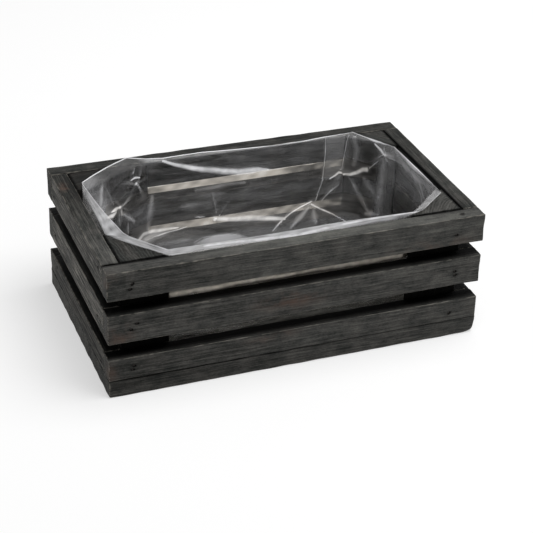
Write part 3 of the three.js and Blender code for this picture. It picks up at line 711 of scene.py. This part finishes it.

# Creases seen in the film, pressed in where it was folded or pulled tight; their whiteness is partly the
# film's own scatter and partly a painted highlight where a fold catches the light. Each has its half width
# (at the middle, halved at both ends, or at the start, the middle and the end), the height of its ridge, its
# whiteness, and the points it runs through.
FILM_CREASES = {
    "band under the back rim": ((1.2, 3.0, 3.4), 1.6, 0.6, (-66, 83, 120), (-54, 83, 114.5),
        (-30, 83, 106.5), (-10, 83, 101.5), (8, 83, 98), (22, 83, 97.5)),
    "its faint end": ((3.4, 2.4, 0.8), 0.8, 0.6, (22, 83, 97.5), (38, 83, 96)),
    "band along the foot of the back wall": ((2.4, 3.2, 1.8), 1.6, 0.58, (-15, 83, 52), (3, 83, 49),
        (21, 83, 47), (39, 82, 44), (54, 80, 42)),
    "knot at its left end": ((1.9, 1.9, 1.9), 1.5, 0.9, (-16, 83, 51), (-15, 83, 53)),
    "arch, left leg": ((0.8, 0.75, 0.7), 1.0, 0.7, (83, 83, 55), (72, 83, 51), (61, 82, 46), (54, 80, 42)),
    "arch, left foot": (0.9, 0.9, 0.5, (52, 80, 41), (41, 75, 33)),
    "arch, right leg": ((1.0, 0.8, 0.6), 1.0, 0.62, (83, 83, 52), (92, 82, 46), (104, 78, 40),
        (115, 71, 34)),
    "fan under the arch, left": (1.6, 1.2, 0.35, (80, 83, 49), (72, 80, 42), (60, 75, 34)),
    "fan under the arch, right": (2.2, 1.0, 0.25, (85, 82, 45), (86, 76, 35)),
    "arc by the left post": ((2.0, 2.6, 0.7), 1.4, 0.6, (-93, 76, 45), (-87, 78, 49.5), (-78, 81, 49.2),
        (-67, 82, 48.8), (-52, 83, 49)),
    "second arc below it": ((0.5, 0.9, 0.6), 0.9, 0.5, (-43, 83, 48), (-58, 83, 46), (-71, 81, 44),
        (-84, 78, 43)),
    "bulge above the floor": (0.7, 0.8, 0.3, (-38, 76, 33), (-30, 78, 36), (-14, 78, 36), (8, 77, 34)),
    "bulge above the floor, left": (1.6, 0.6, 0.15, (-73, 78, 36), (-59, 78, 36), (-43, 78, 36)),
    "upright line where post meets wall": (2.6, 0.9, 0.22, (-77, 83, 85), (-79, 82, 69), (-82, 80, 53)),
    "dash on the lower gap": (0.6, 0.6, 0.6, (-34, 83, 57), (-26, 83, 56)),
    "v on the middle slat, left": (0.6, 0.8, 0.22, (-18, 83, 80), (-15, 83, 66), (-13, 83, 54)),
    "v on the middle slat, right": (0.5, 0.6, 0.15, (-1, 83, 70), (-7, 83, 61), (-11, 83, 54)),
    "soft arc on the middle slat": (1.8, 0.8, 0.2, (-34, 83, 85), (-17, 83, 85), (-2, 83, 87),
        (14, 83, 86)),
    "fold edge": (0.5, 1.0, 0.4, (95, 84, 120), (95, 83, 97), (94, 83, 76), (91, 83, 66), (87, 83, 55)),
    "streak in the fold, left": (0.9, 1.0, 0.35, (118, 81, 120), (116, 82, 105), (113, 83, 86)),
    "streak in the fold, right": ((2.0, 2.6, 1.6), 1.0, 0.2, (121, 78, 120), (124, 74, 108), (123, 76, 92)),
    "crumple on the gap, left": ((0.8, 1.2, 1.2), 1.4, 0.7, (101, 83, 77), (106, 83, 80), (110, 83, 83),
        (116, 82, 81)),
    "crumple on the gap, right": ((1.2, 1.8, 2.2), 1.8, 0.75, (116, 82, 81), (121, 77, 82), (126, 73, 85),
        (130, 69, 89), (133, 66, 90)),
    "below the crumple, long": (1.6, 1.2, 0.3, (120, 78, 79), (123, 75, 72), (126, 72, 63), (131, 67, 53),
        (136, 63, 45)),
    "below the crumple, short": (1.1, 0.9, 0.22, (128, 71, 64), (134, 65, 51)),
    "below the crumple, to the left": (1.2, 1.0, 0.26, (112, 83, 71), (102, 83, 64), (94, 83, 55)),
    "soft patch on the right post": (2.4, 0.9, 0.24, (131, 68, 80), (135, 65, 73), (139, 61, 67)),
    "upright band on the right post": ((1.4, 2.2, 2.0), 1.2, 0.22, (145, 56, 103), (144, 57, 84),
        (143, 57, 63), (143, 57, 46)),
    "patch at its foot": (2.4, 1.0, 0.45, (134, 64, 43), (142, 55, 45)),
    "right pucker, up": ((0.8, 1.5, 1.2), 1.4, 1.0, (137, 61, 118), (141, 58, 114), (145, 54, 109)),
    "right pucker, forward": (2.0, 1.2, 0.5, (145, 54, 109), (152, 47, 106), (151, 27, 110)),
    "right pucker, far forward": (2.4, 0.8, 0.16, (151, 27, 110), (151, 6, 112), (151, -10, 111)),
    "right pucker, back": (0.8, 0.9, 0.3, (144, 55, 106), (140, 60, 100), (134, 65, 91)),
    "facet on the right wall": (1.4, 0.8, 0.3, (152, -9, 108), (153, -15, 98)),
    "line on the right wall": (0.6, 0.8, 0.35, (153, -8, 102), (153, -16, 90)),
    "long line on the right wall": (0.9, 0.7, 0.25, (153, 2, 93), (153, 7, 71)),
    "left pucker, to the wall": ((1.6, 2.4, 1.2), 1.4, 0.8, (-126, 61, 83), (-121, 63, 83), (-117, 65, 85)),
    "left pucker, over it": ((0.7, 1.5, 0.9), 1.0, 0.75, (-122, 63, 87), (-117, 65, 88), (-112, 67, 88)),
    "left pucker, up": ((0.7, 0.9, 0.5), 0.8, 0.22, (-112, 67, 86), (-107, 70, 89), (-102, 72, 92)),
    "between the left puckers": (2.2, 0.6, 0.08, (-102, 72, 92), (-98, 74, 99), (-95, 76, 104)),
    "left pucker, down": (0.7, 0.8, 0.24, (-114, 67, 84), (-114, 66, 76), (-113, 67, 68)),
    "left streak, near the wall": (1.5, 0.9, 0.4, (-131, 63, 125), (-131, 58, 112), (-132, 58, 98)),
    "left streak, slanting": (0.7, 0.9, 0.22, (-129, 60, 120), (-124, 62, 107), (-119, 64, 93)),
    "crescent over the upper pucker": (1.3, 1.2, 0.8, (-100, 73, 111), (-97, 75, 112), (-91, 77, 110)),
    "drop from the rim corner": (0.7, 1.0, 0.5, (-97, 83, 126), (-96, 79, 122), (-98, 74, 117)),
    "facet under the rim corner": ((0.6, 1.4, 1.0), 0.4, 0.34, (-94.5, 79.5, 127.8), (-84, 83.2, 122.9),
        (-72, 84, 120.9), (-64, 84, 120)),
    "low patch on the left post": (1.5, 0.9, 0.4, (-111, 68, 81), (-104, 71, 75), (-97, 74, 67)),
    "low streak on the left post": (1.2, 0.6, 0.2, (-104, 71, 69), (-104, 71, 57)),
    "edge over the front slat, left": ((1.6, 2.2, 2.4), 0.6, 1.0, (-82, -84, 123), (-68, -84, 123),
        (-42, -84, 121), (3, -83, 119), (26, -84, 121)),
    "edge over the front slat, right": ((2.4, 1.6, 1.4), 0.6, 1.0, (26, -84, 121), (44, -84, 123),
        (67, -84, 124), (113, -84, 124)),
    "seen through the upper front gap, left": ((2.6, 2.2, 1.6), 0.6, 1.0, (-111, -84, 80.8),
        (-75, -84, 80.9), (-50, -84, 81.2), (-28, -84, 81.6), (0, -84, 81.3)),
    "seen through the upper front gap, right": ((1.6, 2.4, 2.6), 0.6, 0.7, (-6, -84, 81.3), (10, -84, 81.5),
        (45, -84, 81.6), (82, -84, 81.6), (101, -84, 81.6)),
    "seen through the lower front gap, left": (1.1, 0.6, 0.5, (-110, -84, 41), (-95, -84, 40),
        (-85, -84, 42)),
    "seen through the lower front gap, right": (0.9, 0.6, 0.4, (72, -84, 42), (85, -84, 42),
        (103, -84, 40)),
    "fold in the left strip": (0.6, 0.4, 0.9, (-138, -47, 124.5), (-136, -53, 122), (-132, -60, 120)),
    "fold in the left strip, long": (0.5, 0.4, 0.5, (-139, -44, 124), (-146, -20, 122), (-150, 10, 121)),
    "fold in the front right strip": (0.5, 0.4, 0.7, (147, -56, 121.5), (135, -66, 121)),
    # Painted glints: white knots at the three staples, standing in for the glint off each crown.
    "painted staple glint, lower left": ((1.7, 1.7, 1.7), 1.2, 1.0, (-112, 67, 87), (-112, 67, 88)),
    "painted staple glint, upper left": ((1.7, 1.7, 1.7), 1.2, 1.0, (-94, 76, 104), (-94, 76, 105)),
    "painted staple glint, right": ((1.7, 1.7, 1.7), 1.2, 1.0, (145, 54, 109), (145, 54, 110)),
}
PINNED_REACH = 5.0


def beside(points, facing, path):
    """Each point's place by a broken line on the film: its distance to the nearest length of the line,
    the side of it (plus or minus one, by the cross product of the film's facing with that length), how far
    it lies past the line's ends, and how far along the line, as a share."""
    path = np.array(path, float)
    sizes = np.linalg.norm(np.diff(path, axis=0), axis=1)
    before = np.concatenate([[0.0], np.cumsum(sizes)])
    near, side = np.full(len(points), 1e9), np.ones(len(points))
    beyond, along = np.zeros(len(points)), np.zeros(len(points))
    for k, (start, run, size) in enumerate(zip(path[:-1], np.diff(path, axis=0), sizes)):
        raw = (points - start) @ run / size ** 2
        share = np.clip(raw, 0, 1)
        off = points - start - share[:, None] * run
        apart = np.linalg.norm(off, axis=1)
        closer = apart < near
        over = np.maximum(-raw if k == 0 else 0 * raw, raw - 1 if k == len(sizes) - 1 else 0 * raw)
        near = np.where(closer, apart, near)
        side = np.where(closer, np.where((off * np.cross(facing, run)).sum(1) < 0, -1.0, 1.0), side)
        beyond = np.where(closer, np.clip(over, 0, None) * size, beyond)
        along = np.where(closer, (before[k] + share * size) / before[-1], along)
    return near, side, beyond, along


dice = np.random.default_rng(41)
from_rim = np.linalg.norm(np.diff(film_rows, axis=0, prepend=film_rows[:1]), axis=2).cumsum(0).ravel()
on_strip = np.clip((film_base[:, 2] - NECK_HEIGHT + 0.6) / 1.2, 0, 1)
strip_white = np.tile(along_liner(7, 5.0), row_count)
# Crumple: folded waves, rounded at the crease and soft between, large ones lowest and calm at the rim.
big = np.sqrt(ripple(film_base, dice, (70, 70, 58), 6) ** 2 + 0.01)
mid = np.sqrt(ripple(film_base, dice, (30, 30, 24), 7) ** 2 + 0.05)
calm = np.clip((from_rim - 2.0) / 16.0, 0.12, 1)
taut = 1 - 0.6 * np.clip((62 - film_base[:, 2]) / 15, 0, 1) * np.clip((film_base[:, 1] - 30) / 25, 0, 1)
film_rise = (np.clip(1.5 - big, 0, 2) + 0.5 * np.clip(1.5 - mid, 0, 2) * taut) * calm
film_milk = np.zeros(len(film_base))
# Each crease's narrow bright line, partly a painted highlight, is drawn by the material from crease_across,
# the signed distance from the nearest crease in half widths, and crease_white, its whiteness; here the film
# rises and is hazy beside it. Faint wide ones are hazy only. Creases fade past their ends.
crease_across, crease_white = np.full(len(film_base), 8.0), np.zeros(len(film_base))
crease_score = np.full(len(film_base), -1e9)
for half_width, ridge, white, *path in FILM_CREASES.values():
    near, crease_side, beyond, along = beside(film_base, film_in, path)
    if not isinstance(half_width, tuple):
        half_width = (0.5 * half_width, half_width, 0.5 * half_width)
    width, half_width = np.interp(along, (0.0, 0.5, 1.0), half_width), max(half_width)
    film_rise = film_rise + 0.6 * ridge * np.exp(-(near / (half_width + 0.5)) ** 2)
    faint = white < 0.5 and half_width > 1.3
    soft_haze = 0.55 * np.exp(-(near / (1.2 * width + 0.3)) ** 2)
    close_haze = 0.22 * np.exp(-near / (0.8 * width + 0.4))
    film_milk = np.maximum(film_milk, white * (soft_haze if faint else close_haze))
    fade = white * np.exp(-(beyond / 1.2) ** 2) * (not faint)
    score = np.log(fade + 1e-9) - (near / width) ** 3
    best = score > crease_score
    crease_score = np.where(best, score, crease_score)
    crease_across = np.where(best, crease_side * np.minimum(near / width, 8.0), crease_across)
    crease_white = np.where(best, fade * np.clip(1.35 * width + 2.0 - near, 0, 1), crease_white)
# The pleat at the back right: a second layer lies over the first from the fold edge to the post.
fold_x = np.interp(film_base[:, 2], [55, 66, 76, 97, 120], [87, 91, 94, 95, 95])
pleat = np.clip((film_base[:, 0] - fold_x) / 1.2, 0, 1) * np.clip((130 - film_base[:, 0]) / 14.0, 0, 1)
above_foot = np.clip((film_base[:, 2] - 74 + 0.12 * (film_base[:, 0] - 100)) / 6.0, 0, 1)
pleat *= (film_base[:, 1] > 70) * above_foot
film_rise = film_rise + 1.1 * pleat
film_milk = np.maximum(film_milk, 0.055 * pleat)
# Puckers: round each staple the film is drawn tight to the post and stands up in rays further out.
for staple_name in sorted(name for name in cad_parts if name.startswith("liner_staple_")):
    pin = sum(node_box(staple_name)) / 2
    lean = film_base - pin
    spread = np.linalg.norm(lean, axis=1)
    flank = np.array([-pin[1], pin[0], 0.0])
    flank /= np.linalg.norm(flank)
    bearing = np.arctan2(lean[:, 2], lean @ flank)
    rays = np.cos(5 * bearing + dice.uniform(0, 6)) + 0.6 * np.cos(8 * bearing + dice.uniform(0, 6))
    swell = np.clip(rays, 0, None) * np.exp(-spread / 9.0)
    film_rise = (film_rise + 1.1 * swell) * (1 - np.exp(-(spread / PINNED_REACH) ** 2))
    film_milk = np.maximum(film_milk, 0.45 * swell ** 2)
strip_clouds = 0.8 + 0.16 * ripple(film_base, dice, (14, 14, 9), 4)
film_milk = np.maximum(film_milk, on_strip * strip_white * strip_clouds)
# Fine folds run along the strip of film above the wood: paler and darker lines 2 to 4 mm apart.
strip_place = np.stack([np.tile(round_run, row_count), from_rim, 0.0 * from_rim], axis=1)
folds = ripple(strip_place, np.random.default_rng(43), (40.0, 2.6, 50.0), 7)
film_milk += 0.11 * folds * on_strip * np.clip(3.0 * strip_white - 0.6, 0, 1)
# The trimmed edge and the fold at the wood's top edge shine as thin lines too, painted highlights: the
# distance from each along the film, and how white the fold is. The edge line is widest and whitest on the
# right wall, whose film faces left, away from the lamp.
rim_half_width = np.interp(
    film_in[:, 0], (-1.0, -0.85, -0.65, 0.0, 0.43, 0.9), (3.3, 2.8, 1.1, 0.7, 1.1, 0.7))
rim_highlight_white = np.interp(film_in[:, 0], (-1.0, -0.85, -0.65, 0.0), (1.0, 1.0, 0.6, 0.72))
from_fold = from_rim - np.tile(from_rim.reshape(row_count, COLUMNS)[STRIP_ROWS], row_count)
fold_white = np.clip(1.7 * strip_white - 0.45, 0, 0.7)
film_edges = np.stack([from_rim / rim_half_width, from_fold, fold_white], axis=1)
# Cloudy patches where the film is stretched over the posts and where its layers double, and clear ones,
# whose amounts are below zero.
film_milk += spots(film_base, [
    ((-146, 52, 108), (10, 9, 18), 0.1), ((-134, 59, 98), (9, 8, 15), 0.16),
    ((-90, 78, 66), (10, 8, 18), 0.03), ((-128, 60, 90), (7, 7, 10), 0.07),
    ((146, 46, 112), (8, 14, 9), 0.12), ((152, 14, 114), (6, 34, 9), 0.27),
    ((150, 14, 98), (10, 44, 20), 0.15), ((150, 52, 72), (8, 12, 30), 0.06),
    ((152, -20, 92), (6, 20, 20), 0.04), ((151, 50, 80), (6, 6, 34), -0.05),
    ((153, 42, 86), (6, 10, 10), 0.07), ((153, 6, 80), (6, 12, 12), -0.05),
    ((136, 64, 96), (9, 9, 14), -0.04), ((140, 60, 60), (16, 14, 18), 0.04),
    ((118, 80, 66), (14, 8, 12), 0.05), ((80, 80, 44), (16, 10, 8), 0.03),
    ((151, -34, 110), (8, 14, 11), 0.14), ((-50, 74, 26), (40, 12, 8), 0.06),
    ((-76, 80, 46), (13, 7, 3.4), 0.2), ((-86, 79, 42), (8, 6, 4), 0.2), ((-46, 80, 39), (15, 8, 4), 0.045),
    ((-9, 81, 41), (14, 6, 3), -0.03), ((-38, 83, 110), (40, 8, 12), -0.045),
    ((-97, 76, 108), (12, 8, 12), -0.04), ((-16, 83, 78), (10, 6, 2.5), 0.05),
    ((-39, 83, 70), (8, 6, 3), 0.07), ((-136, -52, 114), (16, 18, 7), 0.22),
    ((-115, -76, 113), (14, 10, 6), 0.13),
])
# A slack patch above the floor: cloudy up to a sharp bowed edge.
slack = np.clip((37.0 - film_base[:, 2] - 0.007 * (film_base[:, 0] + 12) ** 2) / 0.8, 0, 1)
slack *= np.exp(-((film_base[:, 0] + 12) / 27) ** 4) * np.clip((film_base[:, 2] - 22) / 9, 0, 1)
film_milk += 0.26 * slack * (film_base[:, 1] > 60)
# Painted shade: where the film bridges a gap between the slats it lets less light through: on the upper
# gap more so to the right, and on the lower one past the fold.
upper_gap_shade = np.interp(film_base[:, 0], (-86, -58, -31, -3, 19, 41, 52, 63, 80, 102, 118),
                        (0.88, 0.52, 0.56, 0.74, 0.5, 0.44, 0.6, 0.84, 1.0, 0.93, 1.0))
lower_gap_shade = np.interp(film_base[:, 0], (-90, -64, -42, -25, -16, -13, 20, 74, 105),
                       (0.9, 0.72, 0.74, 0.54, 0.56, 0.78, 0.72, 0.72, 1.0))
film_gap_shade = np.where(film_base[:, 2] > 68, upper_gap_shade, lower_gap_shade)
film_gap_shade += 0.06 * ripple(film_base, dice, (16, 16, 7), 5)
bridging = np.maximum(np.clip(8.6 + 1.5 * pleat - np.abs(film_base[:, 2] - 87.6 - pleat), 0, 1),
                      np.clip(12 - np.abs(film_base[:, 2] - 49), 0, 1) * (film_base[:, 1] < 90))
film_gap_shade = np.clip(film_gap_shade, 0, 1) * bridging * (film_base[:, 1] > 60)
# At the front the film behind the upper gap gets this painted shade between its creases, and behind the
# lower gap, out of the light, it is clear.
at_front = film_base[:, 1] < -60
film_gap_shade = np.maximum(film_gap_shade, at_front * np.clip(5.0 - np.abs(film_base[:, 2] - 82.0), 0, 1))
below_gap = (film_base[:, 1] < -50) * np.clip((58 - film_base[:, 2]) / 4, 0, 1)
film_milk -= 0.1 * below_gap * (film_milk < 0.1)
film_points = film_base + film_in * film_rise[:, None]

# Polythene film, blown and rolled, so clear with a slight haze. Flat, it lets most of the light through
# and mirrors the room at a slant; a crease scatters light and turns white, partly as a painted highlight.
clear_film, tree = new_material("clear_polythene_film")
film_place = add(tree, "ShaderNodeTexCoord").outputs["Object"]
milk = add(tree, "ShaderNodeAttribute", attribute_name="milk").outputs["Fac"]
layers = add(tree, "ShaderNodeAttribute", attribute_name="layers").outputs["Fac"]
creases, edges = [
    add(tree, "ShaderNodeSeparateXYZ",
        {0: add(tree, "ShaderNodeAttribute", attribute_name=key).outputs["Vector"]}).outputs
    for key in ("creases", "edges")
]
# Wisps: faint level streaks about 5 mm high and 30 mm long where the film was rolled up.
wisp_at = add(tree, "ShaderNodeMapping",
              {"Vector": film_place, "Scale": (34.0, 34.0, 190.0), "Rotation": (0.12, 0.1, 0.0)})
wisps = add(tree, "ShaderNodeTexNoise",
            {"Vector": wisp_at, "Scale": 1.0, "Detail": 3.0, "Roughness": 0.5, "Distortion": 0.4})
wisps = add(tree, "ShaderNodeMapRange",
            {"Value": wisps, "From Min": 0.35, "From Max": 0.7, "To Min": 0.03, "To Max": 0.075})
whiteness = add(tree, "ShaderNodeMath", {0: milk, 1: wisps}, operation="ADD")


def shining_line(distance, half_width, white):
    """Whiteness of a line: e to the minus cube of the distance over the half width, times white."""
    line = add(tree, "ShaderNodeMath", {0: distance, 1: half_width}, operation="DIVIDE")
    line = add(tree, "ShaderNodeMath", {0: line}, operation="ABSOLUTE")
    line = add(tree, "ShaderNodeMath", {0: line, 1: 3.0}, operation="POWER")
    line = add(tree, "ShaderNodeMath", {0: line, 1: -1.0}, operation="MULTIPLY")
    line = add(tree, "ShaderNodeMath", {0: line}, operation="EXPONENT")
    return add(tree, "ShaderNodeMath", {0: line, 1: white}, operation="MULTIPLY")


# Crease lines, partly painted highlights: flat across the middle and sharp at the sides, a little broken
# along their length. The trimmed edge and the fold at the wood, painted highlight lines too, are whole.
broken = add(tree, "ShaderNodeTexNoise", {"Vector": film_place, "Scale": 120.0, "Detail": 2.0})
broken = add(tree, "ShaderNodeMapRange",
             {"Value": broken, "From Min": 0.35, "From Max": 0.6, "To Min": 0.7, "To Max": 1.0})
crease_line = shining_line(creases["X"], 1.0, creases["Y"])
crease_line = add(tree, "ShaderNodeMath", {0: crease_line, 1: broken}, operation="MULTIPLY")
rim_line = shining_line(edges["X"], 1.0, creases["Z"])
fold_line = shining_line(edges["Y"], 0.9, edges["Z"])
for line in (crease_line, rim_line, fold_line):
    whiteness = add(tree, "ShaderNodeMath", {0: whiteness, 1: line}, operation="MAXIMUM", use_clamp=True)
# Painted shade: film over the gaps lets less light through, and scatters it a little warmer.
tint = add(tree, "ShaderNodeValToRGB", {"Fac": layers})
stops = tint.color_ramp.elements
stops[0].position, stops[0].color = 0.0, linear("#e4e3e0")
stops[1].position, stops[1].color = 1.0, linear("#2c2a26")
stops.new(0.5).color = linear("#ada79e")
clear = add(tree, "ShaderNodeBsdfTransparent", {"Color": tint})
milky = add(tree, "ShaderNodeMix", {0: layers, 6: linear("#ededf0"), 7: linear("#fff4e2")}, data_type="RGBA")
# The tiny facets of a crease catch the light from above whichever way the sheet as a whole faces.
facing = add(tree, "ShaderNodeNewGeometry").outputs["Normal"]
facets_up, facets_down = [
    add(tree, "ShaderNodeVectorMath",
        {0: add(tree, "ShaderNodeVectorMath", {0: facing, 1: (0.0, 0.0, lean)}, operation="ADD")},
        operation="NORMALIZE")
    for lean in (1.1, -1.1)
]
soft_white = add(tree, "ShaderNodeBsdfDiffuse", {"Color": milky.outputs[2], "Normal": facets_up})
through = add(tree, "ShaderNodeBsdfTranslucent", {"Color": milky.outputs[2], "Normal": facets_down})
scatter = add(tree, "ShaderNodeMixShader", {0: 0.45, 1: soft_white, 2: through})
frosted = add(tree, "ShaderNodeBsdfGlossy",
              {"Color": linear("#f4f4f6"), "Roughness": 0.5, "Normal": facets_up})
scatter = add(tree, "ShaderNodeMixShader", {0: 0.4, 1: scatter, 2: frosted})
sheet_body = add(tree, "ShaderNodeMixShader", {0: whiteness, 1: clear, 2: scatter})
slant = add(tree, "ShaderNodeLayerWeight", {"Blend": 0.5})
slant = add(tree, "ShaderNodeMath", {0: slant.outputs["Facing"], 1: 5.0}, operation="POWER")
mirror_share = add(tree, "ShaderNodeMapRange", {"Value": slant, "To Min": 0.035, "To Max": 0.85})
mirror = add(tree, "ShaderNodeBsdfGlossy", {"Color": linear("#ffffff"), "Roughness": 0.14})
film_look = add(tree, "ShaderNodeMixShader", {0: mirror_share, 1: sheet_body, 2: mirror})
add(tree, "ShaderNodeOutputMaterial", {"Surface": film_look})

# What the film's material reads at each point: haze, painted shade over the gaps, the nearest crease
# (distance in half widths, whiteness) with the rim's whiteness, and the distances from rim and fold.
all_film = np.vstack([film_points, film_middle])
film_fields = {
    "milk": np.append(np.clip(film_milk, -0.05, 1), 0.0),
    "layers": np.append(film_gap_shade, 0.0),
    "creases": np.vstack([np.stack([crease_across, crease_white, rim_highlight_white], axis=1), [[8.0, 0.0, 0.0]]]),
    "edges": np.vstack([film_edges, [[99.0, 99.0, 0.0]]]),
}
liner = show_piece("film_liner_sheet", "film_liner", all_film, film_quads, film_fields,
                   clear_film, film_fan)

# Nails. Plain steel wire brads, cut and headed, driven below the surface of the wood. The heads have gone
# dark with stain and rust, so only a dull glint is left in each hole.
def drawn_wire(name, specks, detail, dark, light, metallic, smooth, rough):
    """A drawn wire's finish: specks, in cells per metre, go from a dark colour to a light one and from
    smooth to rough."""
    finish, tree = new_material(name)
    place = add(tree, "ShaderNodeTexCoord").outputs["Object"]
    speck = add(tree, "ShaderNodeTexNoise", {"Vector": place, "Scale": specks, "Detail": detail})
    colour = add(tree, "ShaderNodeMix", {0: speck, 6: linear(dark), 7: linear(light)}, data_type="RGBA")
    roughness = add(tree, "ShaderNodeMapRange", {"Value": speck, "To Min": smooth, "To Max": rough})
    body = add(tree, "ShaderNodeBsdfPrincipled",
               {"Base Color": colour.outputs[2], "Metallic": metallic, "Roughness": roughness})
    add(tree, "ShaderNodeOutputMaterial", {"Surface": body})
    return finish


def finish_nodes(prefix, finish):
    """Puts a finish on every CAD node whose name starts with the prefix."""
    for node_name, node_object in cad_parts.items():
        if node_name.startswith(prefix):
            node_object.data.materials.clear()
            node_object.data.materials.append(finish)


brad_steel = drawn_wire("dull_bright_steel_brads", 1400.0, 3.0, "#0e0d0c", "#2c2723", 0.6, 0.35, 0.7)
finish_nodes("nail_", brad_steel)

# Staples. Galvanised wire staples with flat crowns, shot through the film into the posts. Their zinc is
# still bright, so each crown is a small white glint in a pucker.
staple_zinc = drawn_wire("galvanised_staple_wire", 2200.0, 2.0, "#b4b6b8", "#d9dadb", 1.0, 0.2, 0.42)
finish_nodes("liner_staple_", staple_zinc)
